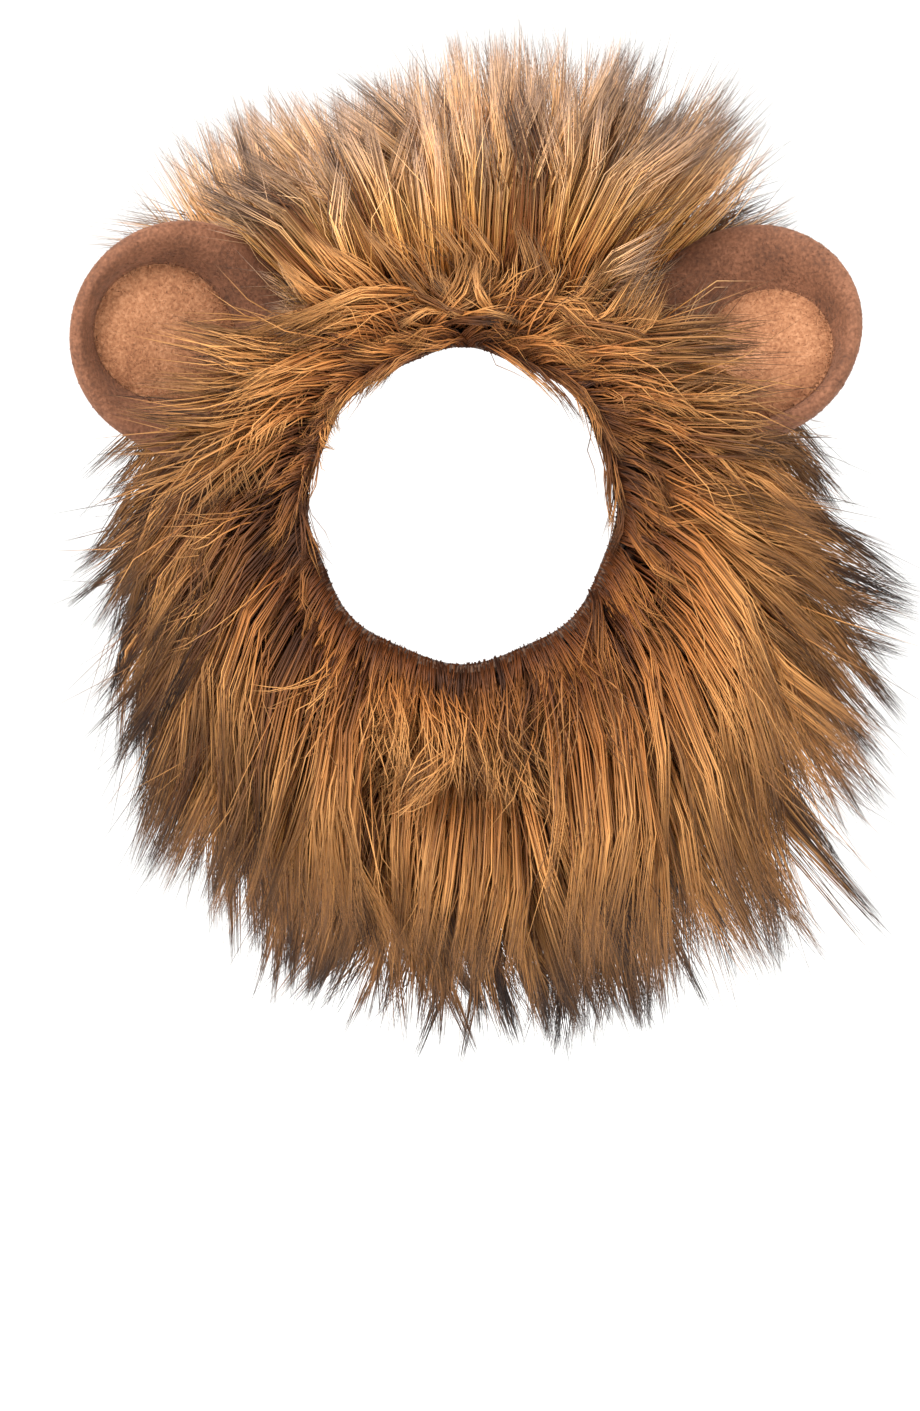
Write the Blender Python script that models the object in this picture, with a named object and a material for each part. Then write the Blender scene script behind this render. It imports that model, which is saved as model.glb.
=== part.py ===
"""A lion mane wig for a cat or a small dog: a knitted hood, three panels of long-pile fur and two stuffed ears.

Metres, +Z up. The wearer faces -Y, so the wearer's left is at +X. The origin is the place inside the crown
where the hood sits on the head. Shapes are worked out about the middle of the face opening, and an empty
there carries every piece.

A place on the hood has a turn, the angle round the face opening from the wearer's left up over the crown,
and a share along the hood, from 0 at the face rim to 1 at the neck rim.
"""

import math
from collections import namedtuple

import bmesh
import bpy
import numpy as np
from mathutils import Euler, Matrix, Vector

MM = 0.001

# The hood: its inside sizes, measured from the middle of the face opening.
FACE_WIDTH = 85 * MM
FACE_HEIGHT = 87 * MM
HEAD_WIDTH = 128 * MM
CROWN_RISE = 58 * MM
BIB_DROP = 88 * MM
HOOD_DEPTH = 95 * MM
BIB_DEPTH = 50 * MM
FACE_LEAN = 6 * MM
WALL = 2 * MM
HEM_THICK = 1.4 * MM
HEM_LENGTH = 6 * MM
GATHERS = 8
GATHER_DEPTH = 0.9 * MM
GATHER_LENGTH = 15 * MM
SIDE_DEPTH_POWER = 0.7

# The fur: the mat of short hair at its roots, and the locks that stand out of it.
MAT_THICK = 5 * MM
CREST_PILE = 74 * MM
RUFF_PILE = 64 * MM
BIB_PILE = 62 * MM
LOCK_WIDTH = 22 * MM
LOCK_THICK = 12 * MM
BROW_SEAM_ALONG = 0.10
BROW_SEAM_TILT_DEG = 45
CHIN_SEAM_ALONG = 0.30
CHIN_SEAM_TILT_DEG = 14

# The ears.
EAR_WIDTH = 66 * MM
EAR_HEIGHT = 66 * MM
EAR_BASE = 1.3
EAR_CUP = 10 * MM
EAR_ROLL = 10 * MM
EAR_PAD_RISE = 5.5 * MM
EAR_PAD_REACH = 0.58
EAR_SUNK = 7 * MM

# The gap between pieces that are sewn together.
FIT = 0.3 * MM

COLUMNS = 4 * GATHERS
EAR_COLUMNS = 20
SEAT_ALONG = 0.50
SEED = 12

# How far the hood has opened from the face rim's size (0) to its full size (1).
Section = namedtuple("Section", "name along width crown bib")
SECTIONS = (
    Section("face_rim", 0.00, 0.00, 0.00, 0.00),
    Section("cheek", 0.22, 0.55, 0.62, 0.36),
    Section("head", 0.50, 0.92, 1.00, 0.68),
    Section("collar", 0.78, 1.00, 0.98, 0.90),
    Section("neck_rim", 1.00, 0.94, 0.84, 1.00),
)

# Where the hair at each turn is combed to, as seen from the front: 0 is the wearer's left, 90 is up. pile is
# how long the hair is there, as a share of its panel's.
Comb = namedtuple("Comb", "turn_deg heading_deg pile")
CREST_COMB = (
    Comb(30, 30, 0.76),
    Comb(45, 42, 0.92),
    Comb(60, 54, 1.12),
    Comb(75, 71, 1.08),
    Comb(90, 90, 0.97),
    Comb(107, 109, 0.86),
    Comb(120, 124, 0.92),
    Comb(135, 140, 0.92),
    Comb(150, 156, 0.76),
)
RUFF_COMB = (
    Comb(94, 196, 0.90),
    Comb(150, 222, 0.86),
    Comb(182, 239, 0.88),
    Comb(200, 247, 0.90),
    Comb(213, 252, 1.20),
    Comb(230, 258, 0.98),
    Comb(270, 271, 1.02),
    Comb(300, 286, 1.12),
    Comb(320, 298, 1.34),
    Comb(338, 308, 1.30),
    Comb(355, 320, 1.00),
    Comb(375, 329, 0.86),
    Comb(405, 340, 0.90),
    Comb(446, 348, 0.90),
)

# Rows of locks. pile is a share of the panel's own pile, width and thick of LOCK_WIDTH and LOCK_THICK, and
# lean how far the hair leans back out of the front view, in degrees.
Row = namedtuple("Row", "name along first_deg last_deg count pile width thick lean_deg")
CREST_ROWS = (
    Row("front", 0.20, 52, 130, 7, 1.00, 1.20, 2.40, -8),
    Row("crown", 0.44, 47, 136, 8, 1.00, 1.20, 2.60, 10),
    Row("back", 0.68, 42, 139, 8, 0.94, 1.20, 2.50, 34),
    Row("nape", 0.91, 40, 142, 7, 0.84, 1.30, 2.00, 60),
)
RUFF_ROWS = (
    Row("brow_right", 0.08, 96, 150, 4, 0.92, 0.95, 1.00, -8),
    Row("brow_left", 0.08, 396, 442, 4, 0.92, 0.95, 1.00, -8),
    Row("face_right", 0.09, 160, 244, 8, 1.00, 0.95, 1.00, -10),
    Row("face_left", 0.09, 296, 386, 8, 1.00, 0.95, 1.00, -10),
    Row("chin", 0.11, 251, 289, 5, 0.52, 0.80, 1.00, -16),
    Row("cheek_right", 0.42, 172, 236, 5, 1.00, 1.20, 1.20, 4),
    Row("cheek_left", 0.42, 304, 372, 5, 1.00, 1.20, 1.20, 4),
    Row("collar_right", 0.70, 156, 234, 5, 0.98, 1.40, 1.30, 24),
    Row("collar_left", 0.70, 306, 384, 5, 0.98, 1.40, 1.30, 24),
    Row("hem_right", 0.93, 152, 232, 5, 0.92, 1.40, 1.20, 46),
    Row("hem_left", 0.93, 308, 388, 5, 0.92, 1.40, 1.20, 46),
)
BIB_ROWS = (
    Row("upper", 0.48, 247, 293, 5, 0.92, 1.00, 1.00, -12),
    Row("middle", 0.70, 245, 295, 5, 1.00, 1.15, 1.00, -3),
    Row("hem", 0.93, 243, 297, 6, 1.00, 1.15, 1.00, 8),
)

# Where each ear is sewn on, and how it is turned: splayed out from upright, leant back, and turned about
# the upright to face the wearer's left. The hollow with its pad lies to one side of the rim's middle and up
# from it, along the ear's own axes.
Ear = namedtuple("Ear", "side turn_deg along splay_deg lean_back_deg face_left_deg hollow_aside hollow_up")
EARS = (
    Ear("right", 151, 0.36, -53, -10, 16, -2.8 * MM, 5.4 * MM),
    Ear("left", 25, 0.36, 53, 20, -16, 6.2 * MM, 1.6 * MM),
)

# Where two panels of fur are sewn together down the sides: a place on the hood, the heading of the seam from
# there as seen from the front, and the way from it to the panel that it bounds.
Seam = namedtuple("Seam", "name turn_deg along heading_deg towards_deg")
CREST_SEAMS = (
    Seam("right_ear", 149, 0.36, 149, 90),
    Seam("left_ear", 27, 0.36, 33, 90),
)
BIB_SEAMS = (
    Seam("right", 239, 0.70, 259, 0),
    Seam("left", 301, 0.70, 286, 180),
)

# An ear's wall, as shares of its roll to the front and back of its middle surface.
EarSection = namedtuple("EarSection", "name reach front back")
EAR_SECTIONS = (
    EarSection("middle", 0.00, 0.10, 0.34),
    EarSection("floor", 0.28, 0.10, 0.36),
    EarSection("slope", 0.46, 0.10, 0.40),
    EarSection("crease", 0.58, 0.12, 0.44),
    EarSection("inner_lip", 0.68, 0.40, 0.48),
    EarSection("lip_top", 0.83, 0.56, 0.46),
    EarSection("outer_lip", 0.94, 0.38, 0.30),
    EarSection("edge", 1.00, 0.04, -0.04),
)

# How wide and thick a lock is along its length, from root to tip.
LockRing = namedtuple("LockRing", "at width thick")
LOCK_RINGS = (
    LockRing(0.00, 0.62, 0.70),
    LockRing(0.30, 0.94, 1.00),
    LockRing(0.58, 1.00, 0.80),
    LockRing(0.82, 0.62, 0.46),
)

BACKING = ("backing", "5A3A24", 0.9)
FUR = ("fur", "9A6A3E", 0.7)
PLUSH = ("ear_plush", "80503C", 0.9)
PAD_PLUSH = ("ear_pad_plush", "CC8D62", 0.9)


def column(rows, name):
    """One column of a table, as an array."""
    return np.array([getattr(row, name) for row in rows], float)


def through(name, along):
    """A smooth curve through a column of SECTIONS: cubic pieces whose slopes are the rows' own."""
    at, value = column(SECTIONS, "along"), column(SECTIONS, name)
    slope = np.gradient(value, at)
    along = np.asarray(along, float)
    i = np.clip(np.searchsorted(at, along, side="right") - 1, 0, len(at) - 2)
    step = at[i + 1] - at[i]
    t = (along - at[i]) / step
    start = value[i] * (1 + 2 * t) * (1 - t) ** 2 + slope[i] * step * t * (1 - t) ** 2
    end = value[i + 1] * t**2 * (3 - 2 * t) - slope[i + 1] * step * t**2 * (1 - t)
    return start + end


def unit(vectors):
    """The same vectors, one long."""
    return vectors / np.linalg.norm(vectors, axis=-1, keepdims=True)


def hood_inside(turn, along):
    """The hood's inner face: ovals that open from the face rim, higher above the middle than they are wide,
    and set further back at the crown than at the bib."""
    rise, side = np.sin(turn), np.cos(turn)
    half = FACE_WIDTH / 2 + (HEAD_WIDTH - FACE_WIDTH) / 2 * through("width", along)
    up = FACE_HEIGHT / 2 + (CROWN_RISE - FACE_HEIGHT / 2) * through("crown", along)
    down = FACE_HEIGHT / 2 + (BIB_DROP - FACE_HEIGHT / 2) * through("bib", along)
    depth = BIB_DEPTH + (HOOD_DEPTH - BIB_DEPTH) * ((1 + rise) / 2) ** SIDE_DEPTH_POWER
    back = depth * along + FACE_LEAN * rise * (1 - along)
    return np.stack([half * side, back, np.where(rise > 0, up, down) * rise], axis=-1)


def hood_normal(turn, along):
    """The way out of the hood, from the slopes of its inner face."""
    near = 1e-4
    across = hood_inside(turn + near, along) - hood_inside(turn - near, along)
    backwards = hood_inside(turn, along + near) - hood_inside(turn, along - near)
    return unit(np.cross(backwards, across))


def hood_point(turn, along, lift):
    """A point at a height over the hood's inner face, which the elastic gathers near the face rim."""
    turn, along, lift = np.broadcast_arrays(turn, along, lift)
    fade = np.exp(-((along * HOOD_DEPTH / GATHER_LENGTH) ** 2))
    ripple = GATHER_DEPTH * np.cos(GATHERS * turn) * fade
    return hood_inside(turn, along) + hood_normal(turn, along) * (lift + ripple)[..., None]


def outer_lift(along):
    """The wall's thickness: the cloth, and the rolled hems at the two rims."""
    from_rim = np.minimum(np.abs(along), np.abs(1 - along)) * HOOD_DEPTH / HEM_LENGTH
    return WALL + HEM_THICK * np.exp(-(from_rim**2))


def mesh_object(name, points, faces, finish, parent):
    """A named object with its own material."""
    mesh = bpy.data.meshes.new(name)
    mesh.from_pydata([tuple(p) for p in points], [], [tuple(f) for f in faces])
    made = bpy.data.objects.new(name, mesh)
    bpy.context.scene.collection.objects.link(made)
    made.parent = parent
    if finish:
        mesh.materials.append(material(name, *finish))
    return made


def material(name, finish, colour, roughness):
    made = bpy.data.materials.new(f"{finish}_{name}")
    made.use_nodes = True
    shader = made.node_tree.nodes["Principled BSDF"]
    channels = [int(colour[i : i + 2], 16) / 255 for i in (0, 2, 4)]
    linear = [((c + 0.055) / 1.055) ** 2.4 for c in channels]
    shader.inputs["Base Color"].default_value = (*linear, 1)
    shader.inputs["Roughness"].default_value = roughness
    shader.inputs["Metallic"].default_value = 0
    return made


def carried_round(profile):
    """Points and faces of a closed profile of (along, lift) pairs carried round the face opening."""
    turn = np.linspace(0, 2 * math.pi, COLUMNS, endpoint=False)
    along, lift = (np.array(x)[:, None] for x in zip(*profile))
    points = hood_point(turn[None, :], along, lift).reshape(-1, 3)
    count = len(profile)
    faces = []
    for i in range(count):
        for j in range(COLUMNS):
            next_i, next_j = (i + 1) % count, (j + 1) % COLUMNS
            faces.append((i * COLUMNS + j, i * COLUMNS + next_j, next_i * COLUMNS + next_j, next_i * COLUMNS + j))
    return points, faces


def outwards(target):
    """Splits the faces of a closed mesh into triangles and turns them to point out."""
    made = bmesh.new()
    made.from_mesh(target.data)
    bmesh.ops.triangulate(made, faces=made.faces)
    bmesh.ops.recalc_face_normals(made, faces=made.faces)
    made.to_mesh(target.data)
    made.free()
    return target


BANDS = (0.0, 0.06, 0.14, 0.28, 0.46, 0.66, 0.84, 0.95, 1.0)


def build_hood(parent):
    """The knitted backing: one tube of cloth, its hems rolled at the face and the neck."""
    nose = 0.4 * HEM_THICK / HOOD_DEPTH
    rolled = (-nose, outer_lift(0) / 2)
    tail = (1 + nose, outer_lift(1) / 2)
    profile = [rolled, *((a, outer_lift(a)) for a in BANDS), tail, *((a, 0.0) for a in reversed(BANDS))]
    return outwards(mesh_object("hood", *carried_round(profile), BACKING, parent))


def build_mat(parent):
    """The short dense hair that covers the hood from its face hem to its neck hem."""
    bands = (0.04, *BANDS[1:-1], 0.98)
    inner = [(a, outer_lift(a) + FIT) for a in bands]
    swell = [0.35, *[1.0] * (len(bands) - 2), 0.5]
    outer = [(a, outer_lift(a) + FIT + MAT_THICK * s) for a, s in zip(bands, swell)]
    return outwards(mesh_object("mat", *carried_round(inner + outer[::-1]), None, parent))


def hood_envelope(parent):
    """The hood filled in, a gap larger all round, for cutting what is sewn onto it."""
    turn = np.linspace(0, 2 * math.pi, COLUMNS, endpoint=False)
    along = np.array(BANDS)[:, None]
    rings = hood_point(turn[None, :], along, outer_lift(along) + FIT)
    ends = [rings[0].mean(axis=0), rings[-1].mean(axis=0)]
    points = [*rings.reshape(-1, 3), *ends]
    last = len(points) - COLUMNS - 2
    faces = []
    for j in range(COLUMNS):
        k = (j + 1) % COLUMNS
        faces += [(j, k, len(points) - 2), (last + j, last + k, len(points) - 1)]
        for i in range(len(BANDS) - 1):
            faces.append((i * COLUMNS + j, i * COLUMNS + k, (i + 1) * COLUMNS + k, (i + 1) * COLUMNS + j))
    return outwards(mesh_object("envelope", points, faces, None, parent))


def combed(comb, name, turn_deg):
    """The value of a comb's column at a turn."""
    return np.interp(turn_deg, column(comb, "turn_deg"), column(comb, name))


def lock_path(root, start, end, length, t):
    """The line of a lock: it leaves along start and turns smoothly towards end, at its own length."""
    turned = (1 - (1 - t) ** 3) / 3
    return root + length * (start * turned + end * (t - turned))


def lock_mesh(root, start, end, length, width, thickness, facing):
    """Points and faces of one lock: diamonds carried along its line, closed at the root, pointed at the tip.
    The diamonds' long axis lies across the hair, and square to the way that the lock faces."""
    across = unit(np.cross(end, facing))
    points = []
    for ring in LOCK_RINGS:
        middle = lock_path(root, start, end, length, ring.at)
        ahead = lock_path(root, start, end, length, ring.at + 0.01)
        up = unit(np.cross(across, ahead - middle))
        half, thick = width * ring.width / 2, thickness * ring.thick / 2
        points += [middle + across * half, middle + up * thick, middle - across * half, middle - up * thick]
    points.append(lock_path(root, start, end, length, 1.0))
    faces = [(0, 1, 2, 3)]
    for i in range(len(LOCK_RINGS) - 1):
        for j in range(4):
            k = (j + 1) % 4
            faces.append((4 * i + j, 4 * i + k, 4 * i + 4 + k, 4 * i + 4 + j))
    top = 4 * (len(LOCK_RINGS) - 1)
    faces += [(top + j, top + (j + 1) % 4, top + 4) for j in range(4)]
    return points, faces


def ear_places():
    """Each ear's row with its matrix about the face opening's middle."""
    places = []
    for ear in EARS:
        turn = math.radians(ear.turn_deg)
        splay = Euler((0, math.radians(ear.splay_deg), 0)).to_matrix()
        lean = Euler((math.radians(-ear.lean_back_deg), 0, 0)).to_matrix()
        face = Euler((0, 0, math.radians(ear.face_left_deg))).to_matrix()
        sewn_at = Vector(hood_point(turn, ear.along, outer_lift(ear.along)))
        middle = sewn_at + splay @ Vector((0, 0, EAR_BASE * EAR_HEIGHT / 2 - EAR_SUNK))
        places.append((ear, Matrix.Translation(middle) @ (face @ lean @ splay).to_4x4()))
    return places


def meets_an_ear(path):
    """Whether a lock's line runs through an ear's disc."""
    reach = 0.5 * min(EAR_WIDTH, EAR_HEIGHT) + LOCK_THICK
    for _, place in ear_places():
        local = [place.inverted() @ Vector(p) for p in path]
        if any(math.hypot(p.x, p.z) < reach and abs(p.y) < EAR_CUP + EAR_ROLL for p in local):
            return True
    return False


def row_locks(row, pile, comb, facing, rng):
    """The locks of one row, each a closed solid rooted in the mat."""
    made = []
    for turn_deg in np.linspace(row.first_deg, row.last_deg, row.count):
        stray, longer, wider, tipped = rng.uniform(-1, 1, 4)
        turn = math.radians(turn_deg)
        heading = math.radians(combed(comb, "heading_deg", turn_deg) + 5 * stray)
        lean = math.radians(row.lean_deg + 6 * tipped)
        root = hood_point(turn, row.along, outer_lift(row.along) + FIT + MAT_THICK / 2)
        start = hood_normal(turn, row.along)
        end = np.array([math.cos(heading) * math.cos(lean), math.sin(lean), math.sin(heading) * math.cos(lean)])
        length = pile * row.pile * combed(comb, "pile", turn_deg) * (1 + 0.05 * longer)
        path = lock_path(root, start, end, length, np.linspace(0.1, 1, 10)[:, None])
        if meets_an_ear(path):
            continue
        width, thick = LOCK_WIDTH * row.width * (1 + 0.1 * wider), LOCK_THICK * row.thick
        made.append(lock_mesh(root, start, end, length, width, thick, start if facing is None else facing))
    return made


def apply_boolean(target, operation, other):
    """Joins, cuts or crosses target with an object or with all of a collection, and keeps the result."""
    modifier = target.modifiers.new(operation, "BOOLEAN")
    modifier.operation = operation
    modifier.solver = "EXACT"
    if isinstance(other, bpy.types.Collection):
        modifier.operand_type = "COLLECTION"
        modifier.collection = other
    else:
        modifier.object = other
    graph = bpy.context.evaluated_depsgraph_get()
    result = bpy.data.meshes.new_from_object(target.evaluated_get(graph))
    target.modifiers.clear()
    target.data = result


def together(name, objects):
    """A collection of objects that one Boolean takes as a whole."""
    made = bpy.data.collections.new(name)
    bpy.context.scene.collection.children.link(made)
    for each in objects:
        made.objects.link(each)
    return made


def drop_loose_tips(target):
    """Keeps the largest body, without the tips of locks that a cut has parted from it."""
    made = bmesh.new()
    made.from_mesh(target.data)
    made.faces.ensure_lookup_table()
    seen, bodies = set(), []
    for face in made.faces:
        if face in seen:
            continue
        body, todo = [], [face]
        seen.add(face)
        while todo:
            here = todo.pop()
            body.append(here)
            for edge in here.edges:
                for other in edge.link_faces:
                    if other not in seen:
                        seen.add(other)
                        todo.append(other)
        bodies.append(body)
    largest = max(bodies, key=lambda body: sum(face.calc_area() for face in body))
    loose = [face for body in bodies if body is not largest for face in body]
    bmesh.ops.delete(made, geom=loose, context="FACES")
    bmesh.ops.triangulate(made, faces=made.faces)
    made.to_mesh(target.data)
    made.free()


def fur_of(name, rows, pile, comb, facing, parent, rng):
    """A mat and its rows of locks, fused into one solid."""
    made = build_mat(parent)
    shapes = [shape for row in rows for shape in row_locks(row, pile, comb, facing, rng)]
    locks = [outwards(mesh_object("lock", points, faces, None, parent)) for points, faces in shapes]
    apply_boolean(made, "UNION", together("locks", locks))
    for lock in locks:
        bpy.data.objects.remove(lock)
    made.name = name
    made.data.materials.clear()
    made.data.materials.append(material(name, *FUR))
    return made


def region(name, planes, parent, grow):
    """The space on the positive side of every plane, moved out by grow: a block, cut by each plane in turn."""
    made = bmesh.new()
    bmesh.ops.create_cube(made, size=6 * HEAD_WIDTH)
    for point, normal in planes:
        normal = Vector(normal).normalized()
        place = Vector(point) - normal * grow
        everything = made.verts[:] + made.edges[:] + made.faces[:]
        cut = bmesh.ops.bisect_plane(made, geom=everything, plane_co=place, plane_no=normal, clear_inner=True)
        rim = [edge for edge in cut["geom_cut"] if isinstance(edge, bmesh.types.BMEdge)]
        bmesh.ops.contextual_create(made, geom=rim)
    mesh = bpy.data.meshes.new(name)
    made.to_mesh(mesh)
    made.free()
    block = bpy.data.objects.new(name, mesh)
    bpy.context.scene.collection.objects.link(block)
    block.parent = parent
    return outwards(block)


def side_plane(seam):
    """The plane that runs back from a side seam, facing the panel that the seam bounds."""
    point = hood_point(math.radians(seam.turn_deg), seam.along, outer_lift(seam.along))
    heading, towards = math.radians(seam.heading_deg), math.radians(seam.towards_deg)
    normal = np.array([-math.sin(heading), 0, math.cos(heading)])
    if normal @ np.array([math.cos(towards), 0, math.sin(towards)]) < 0:
        normal = -normal
    return point, normal


def crest_planes():
    """The crest lies behind the brow seam and above the lines where the ears are sewn in."""
    tilt = math.radians(BROW_SEAM_TILT_DEG)
    seam = hood_point(math.pi / 2, BROW_SEAM_ALONG, outer_lift(BROW_SEAM_ALONG))
    return ((seam, (0, math.cos(tilt), math.sin(tilt))), *map(side_plane, CREST_SEAMS))


def bib_planes():
    """The bib lies behind the chin's hair and between two lines down the chest."""
    tilt = math.radians(CHIN_SEAM_TILT_DEG)
    seam = hood_point(-math.pi / 2, CHIN_SEAM_ALONG, outer_lift(CHIN_SEAM_ALONG))
    return ((seam, (0, math.cos(tilt), -math.sin(tilt))), *map(side_plane, BIB_SEAMS))


def ear_rings(ear, front, back, reaches, grow):
    """Points and faces of an ear's disc, which reaches further down to where it is sewn on: rings on its
    cupped middle surface, set off to the front and back. The rings that bound the hollow share its middle."""
    angle = np.linspace(0, 2 * math.pi, EAR_COLUMNS, endpoint=False)

    def ring(reach, offset):
        side = (EAR_WIDTH / 2 + grow) * reach * np.cos(angle)
        rise = (EAR_HEIGHT / 2 + grow) * reach * np.sin(angle)
        rise = np.where(rise < 0, EAR_BASE * rise, rise)
        inner = np.clip((1 - reach) / (1 - EAR_PAD_REACH), 0, 1)
        deep = np.full_like(angle, offset) - EAR_CUP * reach**2
        return np.stack([side + ear.hollow_aside * inner, deep, rise + ear.hollow_up * inner], axis=-1)

    rings = [ring(r, -front(r)) for r in reaches[1:-1]]
    rings.append(ring(reaches[-1], (back(reaches[-1]) - front(reaches[-1])) / 2))
    rings += [ring(r, back(r)) for r in reversed(reaches[1:-1])]
    poles = [(ear.hollow_aside, y, ear.hollow_up) for y in (-front(0), back(0))]
    points = [*np.concatenate(rings), *poles]
    faces = []
    last = (len(rings) - 1) * EAR_COLUMNS
    for j in range(EAR_COLUMNS):
        k = (j + 1) % EAR_COLUMNS
        faces += [(j, k, len(points) - 2), (last + j, last + k, len(points) - 1)]
        for i in range(len(rings) - 1):
            here = i * EAR_COLUMNS
            faces.append((here + j, here + k, here + EAR_COLUMNS + k, here + EAR_COLUMNS + j))
    return points, faces


def wall_front(reach):
    return EAR_ROLL * np.interp(reach, column(EAR_SECTIONS, "reach"), column(EAR_SECTIONS, "front"))


def wall_back(reach):
    return EAR_ROLL * np.interp(reach, column(EAR_SECTIONS, "reach"), column(EAR_SECTIONS, "back"))


def pad_front(reach):
    """The pad's crowned front, which falls to the crease inside the rolled rim."""
    share = np.clip(reach / EAR_PAD_REACH, 0, 1)
    return wall_front(reach) + FIT + EAR_PAD_RISE * (1 - share**3)


def ear_shell(name, ear, place, parent, finish, grow):
    """The plush outer ear, or with grow the whole ear's outline that the fur is cut by."""
    reaches = [section.reach for section in EAR_SECTIONS]
    front = (lambda r: max(wall_front(r), pad_front(r)) + grow) if grow else wall_front
    points, faces = ear_rings(ear, front, lambda r: wall_back(r) + grow, reaches, grow)
    made = outwards(mesh_object(name, points, faces, finish, parent))
    made.matrix_local = place
    return made


def ear_lining(name, ear, place, parent):
    """The tan pad in the ear's hollow, a gap clear of the wall behind it."""
    reaches = [section.reach for section in EAR_SECTIONS if section.reach <= EAR_PAD_REACH]
    points, faces = ear_rings(ear, pad_front, lambda r: -wall_front(r) - FIT, reaches, 0)
    made = outwards(mesh_object(name, points, faces, PAD_PLUSH, parent))
    made.matrix_local = place
    return made


def clear_scene():
    for old in list(bpy.data.objects):
        bpy.data.objects.remove(old)


def build():
    clear_scene()
    rng = np.random.default_rng(SEED)
    seat = Vector(hood_inside(np.array(math.pi / 2), np.array(SEAT_ALONG)))
    middle = bpy.data.objects.new("face_middle", None)
    middle.location = -seat
    bpy.context.scene.collection.objects.link(middle)
    bpy.context.view_layer.update()

    build_hood(middle)
    envelope = hood_envelope(middle)
    outlines = []
    for ear, place in ear_places():
        shell = ear_shell(f"ear_shell_{ear.side}", ear, place, middle, PLUSH, 0)
        apply_boolean(shell, "DIFFERENCE", envelope)
        drop_loose_tips(shell)
        ear_lining(f"ear_lining_{ear.side}", ear, place, middle)
        outlines.append(ear_shell(f"ear_outline_{ear.side}", ear, place, middle, None, FIT))

    forwards = np.array([0.0, -1.0, 0.0])
    crest = fur_of("crest_fur", CREST_ROWS, CREST_PILE, CREST_COMB, forwards, middle, rng)
    ruff = fur_of("ruff_fur", RUFF_ROWS, RUFF_PILE, RUFF_COMB, None, middle, rng)
    bib = fur_of("bib_fur", BIB_ROWS, BIB_PILE, RUFF_COMB, None, middle, rng)
    crest_space = region("crest_space", crest_planes(), middle, 0)
    bib_space = region("bib_space", bib_planes(), middle, 0)
    crest_clear = region("crest_clear", crest_planes(), middle, FIT)
    bib_clear = region("bib_clear", bib_planes(), middle, FIT)
    apply_boolean(crest, "INTERSECT", crest_space)
    apply_boolean(bib, "INTERSECT", bib_space)
    apply_boolean(crest, "DIFFERENCE", together("ears", outlines))
    apply_boolean(ruff, "DIFFERENCE", together("round_the_ruff", [crest_clear, bib_clear, *outlines]))
    for fur in (crest, ruff, bib):
        drop_loose_tips(fur)
    for cutter in (envelope, crest_space, bib_space, crest_clear, bib_clear, *outlines):
        bpy.data.objects.remove(cutter)


build()
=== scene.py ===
import math
from collections import namedtuple

import bpy
import numpy as np
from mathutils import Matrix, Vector


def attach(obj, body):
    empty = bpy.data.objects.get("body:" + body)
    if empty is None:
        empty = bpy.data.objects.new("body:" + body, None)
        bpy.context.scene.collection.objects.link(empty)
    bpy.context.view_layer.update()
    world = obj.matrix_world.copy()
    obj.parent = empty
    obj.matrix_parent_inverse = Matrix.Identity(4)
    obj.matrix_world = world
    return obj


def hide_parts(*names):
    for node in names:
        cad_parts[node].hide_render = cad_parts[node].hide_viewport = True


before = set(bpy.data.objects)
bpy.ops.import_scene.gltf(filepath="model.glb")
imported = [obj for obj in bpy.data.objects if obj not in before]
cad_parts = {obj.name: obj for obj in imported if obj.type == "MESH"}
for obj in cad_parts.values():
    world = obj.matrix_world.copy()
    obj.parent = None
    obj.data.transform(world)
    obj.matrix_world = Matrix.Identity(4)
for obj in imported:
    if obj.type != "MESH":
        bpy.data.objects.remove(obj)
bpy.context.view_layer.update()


# The hood.
# A tube of brown polyester knit, cut in one piece, sewn up under the chin and turned in at both rims over
# elastic. The elastic gathers it round the face. It is soft and matt, with fine ribs along its length.

# Inside sizes in mm about the middle of the face opening. FACE is that middle's place on the model.
FACE = np.array([0.0, -50.5, -58.0])
FACE_WIDTH, FACE_HEIGHT = 85.0, 87.0
HEAD_WIDTH, CROWN_RISE, BIB_DROP = 128.0, 58.0, 88.0
HOOD_DEPTH, BIB_DEPTH, FACE_LEAN = 95.0, 50.0, 6.0
SIDE_DEPTH_POWER = 0.7
WALL, HEM_THICK, HEM_LENGTH = 2.0, 1.4, 6.0
GATHERS, GATHER_DEPTH, GATHER_LENGTH = 8, 0.9, 15.0

Section = namedtuple("Section", "name along width crown bib")
SECTIONS = (
    Section("face_rim", 0.00, 0.00, 0.00, 0.00),
    Section("cheek", 0.22, 0.55, 0.62, 0.36),
    Section("head", 0.50, 0.92, 1.00, 0.68),
    Section("collar", 0.78, 1.00, 0.98, 0.90),
    Section("neck_rim", 1.00, 0.94, 0.84, 1.00),
)


def column(rows, name):
    """One column of a table, as an array."""
    return np.array([getattr(row, name) for row in rows], float)


def through(name, along):
    """Cubic pieces through a column of SECTIONS, each with the slopes that the rows round it give."""
    at, value = column(SECTIONS, "along"), column(SECTIONS, name)
    slope = np.gradient(value, at)
    i = np.clip(np.searchsorted(at, along, side="right") - 1, 0, len(at) - 2)
    step = at[i + 1] - at[i]
    t = (along - at[i]) / step
    start = value[i] * (1 + 2 * t) * (1 - t) ** 2 + slope[i] * step * t * (1 - t) ** 2
    end = value[i + 1] * t**2 * (3 - 2 * t) - slope[i + 1] * step * t**2 * (1 - t)
    return start + end


def unit(vectors):
    """The same vectors, one long."""
    return vectors / np.maximum(np.linalg.norm(vectors, axis=-1, keepdims=True), 1e-9)


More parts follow.
